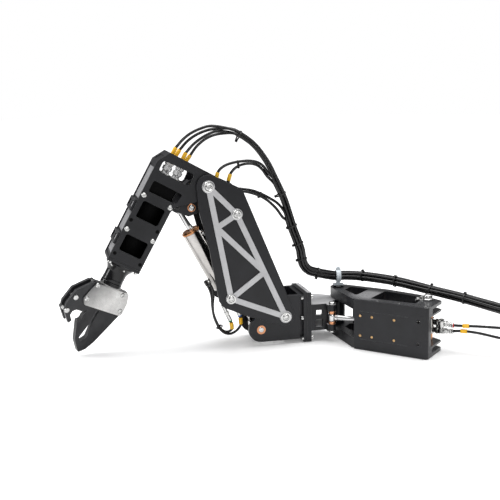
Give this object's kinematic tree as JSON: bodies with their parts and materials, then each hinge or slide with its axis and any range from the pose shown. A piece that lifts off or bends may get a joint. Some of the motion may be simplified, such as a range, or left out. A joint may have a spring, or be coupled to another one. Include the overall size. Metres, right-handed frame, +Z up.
{
  "type": "hydraulic manipulator arm",
  "caption": "Hydraulic manipulator arm with slewing base, shoulder, elbow, rolling wrist and a beak-shaped gripper, with its bundled supply hoses.",
  "frame": {"origin": "middle of the four mounting holes in the flat underside of the base", "axes": "+X along the base's bolted cover side towards the hose end, +Y away from that side, +Z up along the slew axis"},
  "size_m": [0.9977, 0.5533, 0.5312],
  "materials": {
    "anodised": "hard-anodised black, fine matt grain",
    "anodised_fore": "hard-anodised black, fine matt grain",
    "truss": "satin machined aluminium",
    "stainless": "turned stainless steel",
    "barrel": "ground and polished stainless tube",
    "bronze": "aluminium bronze, turned",
    "jaw_steel": "brushed stainless plate",
    "hose_rubber": "smooth glossy black hose cover",
    "black_steel": "black oxide, half gloss",
    "sleeve_yellow": "golden-yellow hose-end sleeve",
    "tie_black": "black nylon cable tie",
    "mark_red": "red port mark",
    "mark_green": "green port mark",
    "mark_blue": "blue port mark"
  },
  "bodies": {
    "base": {"base_lower_deck": "anodised", "base_upper_deck": "anodised", "base_side_panel": "anodised", "base_far_panel": "anodised", "slew_pin": "stainless", "slew_tail_pin": "stainless", "tail_bush_upper": "bronze", "tail_bush_lower": "bronze", "hose_clip": "stainless", "hose_bundle_tail": "hose_rubber", "hose_slew_upper": "hose_rubber", "hose_slew_lower": "hose_rubber"},
    "slew_cylinder_barrel": {"slew_barrel": "barrel", "slew_ports": "stainless"},
    "slew_cylinder_rod": {"slew_rod": "stainless"},
    "shoulder_bracket": {"slew_bracket": "anodised", "crank_pin_upper": "stainless", "crank_pin_lower": "stainless", "shoulder_clevis": "anodised", "clevis_pin": "stainless", "hose_bundle_slew": "hose_rubber"},
    "shoulder_cylinder_barrel": {"shoulder_cyl_barrel": "barrel"},
    "shoulder_cylinder_rod": {"shoulder_cyl_rod": "stainless"},
    "boom": {"boom_plate_near": "anodised", "boom_plate_far": "anodised", "boom_truss_near": "truss", "boom_truss_far": "truss", "elbow_pin": "stainless", "shoulder_pin": "stainless", "boom_foot_pin": "stainless", "boom_head_pin_near": "stainless", "boom_head_pin_far": "stainless", "boom_rear_web": "anodised", "hose_bundle_boom": "hose_rubber", "hose_branch_upper": "hose_rubber", "hose_branch_lower": "hose_rubber", "hose_loop": "hose_rubber"},
    "elbow_cylinder_barrel": {"elbow_cyl_barrel": "barrel", "elbow_cyl_gland": "bronze"},
    "elbow_cylinder_rod": {"elbow_cyl_rod": "stainless"},
    "forearm": {"forearm_plate_near": "anodised_fore", "forearm_plate_far": "anodised_fore", "forearm_frame": "anodised_fore", "wrist_motor": "anodised_fore", "wrist_port_block": "stainless", "forearm_rod_lug": "anodised_fore", "wrist_neck": "black_steel", "hose_bundle_fore": "hose_rubber"},
    "jaw": {"jaw_yoke": "jaw_steel", "jaw_plate_near": "jaw_steel", "jaw_plate_far": "jaw_steel", "jaw_cover_near": "jaw_steel", "jaw_cover_far": "jaw_steel", "jaw_spacer_1": "stainless", "jaw_spacer_2": "stainless", "jaw_pivot_pin": "stainless"},
    "finger": {"jaw_finger": "jaw_steel"}
  },
  "joints": [
    {"name": "slew", "type": "hinge", "parent": "base", "child": "shoulder_bracket", "pos_m": [-0.154, 0.037, 0.06], "axis": [0, 0, 1], "range_deg": [-85, 5], "deforming": ["hose_bundle_slew"]},
    {"name": "slew_cylinder_swing", "type": "hinge", "parent": "base", "child": "slew_cylinder_barrel", "pos_m": [0.094, 0.011, 0.06], "axis": [0, 0, 1], "range_deg": [-11.61, 0.91]},
    {"name": "slew_cylinder_stroke", "type": "slide", "parent": "slew_cylinder_barrel", "child": "slew_cylinder_rod", "axis": [-0.9802, -0.1978, 0], "range_m": [-0.00683, 0.0872]},
    {"name": "shoulder", "type": "hinge", "parent": "shoulder_bracket", "child": "boom", "pos_m": [-0.26206, -0.07412, 0.0707], "axis": [-0.7169, 0.6972, 0], "range_deg": [-60, 8], "deforming": ["hose_bundle_boom"]},
    {"name": "shoulder_cylinder_swing", "type": "hinge", "parent": "shoulder_bracket", "child": "shoulder_cylinder_barrel", "pos_m": [-0.30319, -0.11642, 0.0402], "axis": [-0.7169, 0.6972, 0], "range_deg": [-65.38, 9.97]},
    {"name": "shoulder_cylinder_stroke", "type": "slide", "parent": "shoulder_cylinder_barrel", "child": "shoulder_cylinder_rod", "axis": [-0.1326, -0.1364, 0.9817], "range_m": [-0.06546, 0.00999]},
    {"name": "elbow", "type": "hinge", "parent": "boom", "child": "forearm", "pos_m": [-0.38741, -0.20302, 0.3947], "axis": [-0.7169, 0.6972, 0], "range_deg": [-5, 80], "deforming": ["hose_bundle_fore"]},
    {"name": "elbow_cylinder_swing", "type": "hinge", "parent": "boom", "child": "elbow_cylinder_barrel", "pos_m": [-0.35485, -0.16954, 0.1258], "axis": [-0.7169, 0.6972, 0], "range_deg": [-0.8, 9.7]},
    {"name": "elbow_cylinder_stroke", "type": "slide", "parent": "elbow_cylinder_barrel", "child": "elbow_cylinder_rod", "axis": [-0.3207, -0.3298, 0.8879], "range_m": [-0.00797, 0.09713]},
    {"name": "wrist", "type": "hinge", "parent": "forearm", "child": "jaw", "pos_m": [-0.54574, -0.36583, 0.17505], "axis": [-0.3433, -0.353, -0.8704], "continuous": true},
    {"name": "jaw_grip", "type": "hinge", "parent": "jaw", "child": "finger", "pos_m": [-0.55534, -0.34347, 0.10198], "axis": [0.9142, -0.3379, -0.2236], "range_deg": [-8, 50]}
  ],
  "couplings": [
    {"joint": "slew_cylinder_swing", "follows": "slew", "ratio": 0.13377},
    {"joint": "slew_cylinder_stroke", "follows": "slew", "m_per_rad": -0.057558},
    {"joint": "shoulder_cylinder_swing", "follows": "shoulder", "ratio": 1.0655},
    {"joint": "shoulder_cylinder_stroke", "follows": "shoulder", "m_per_rad": 0.061126},
    {"joint": "elbow_cylinder_swing", "follows": "elbow", "ratio": 0.11873},
    {"joint": "elbow_cylinder_stroke", "follows": "elbow", "m_per_rad": 0.068114}
  ]
}
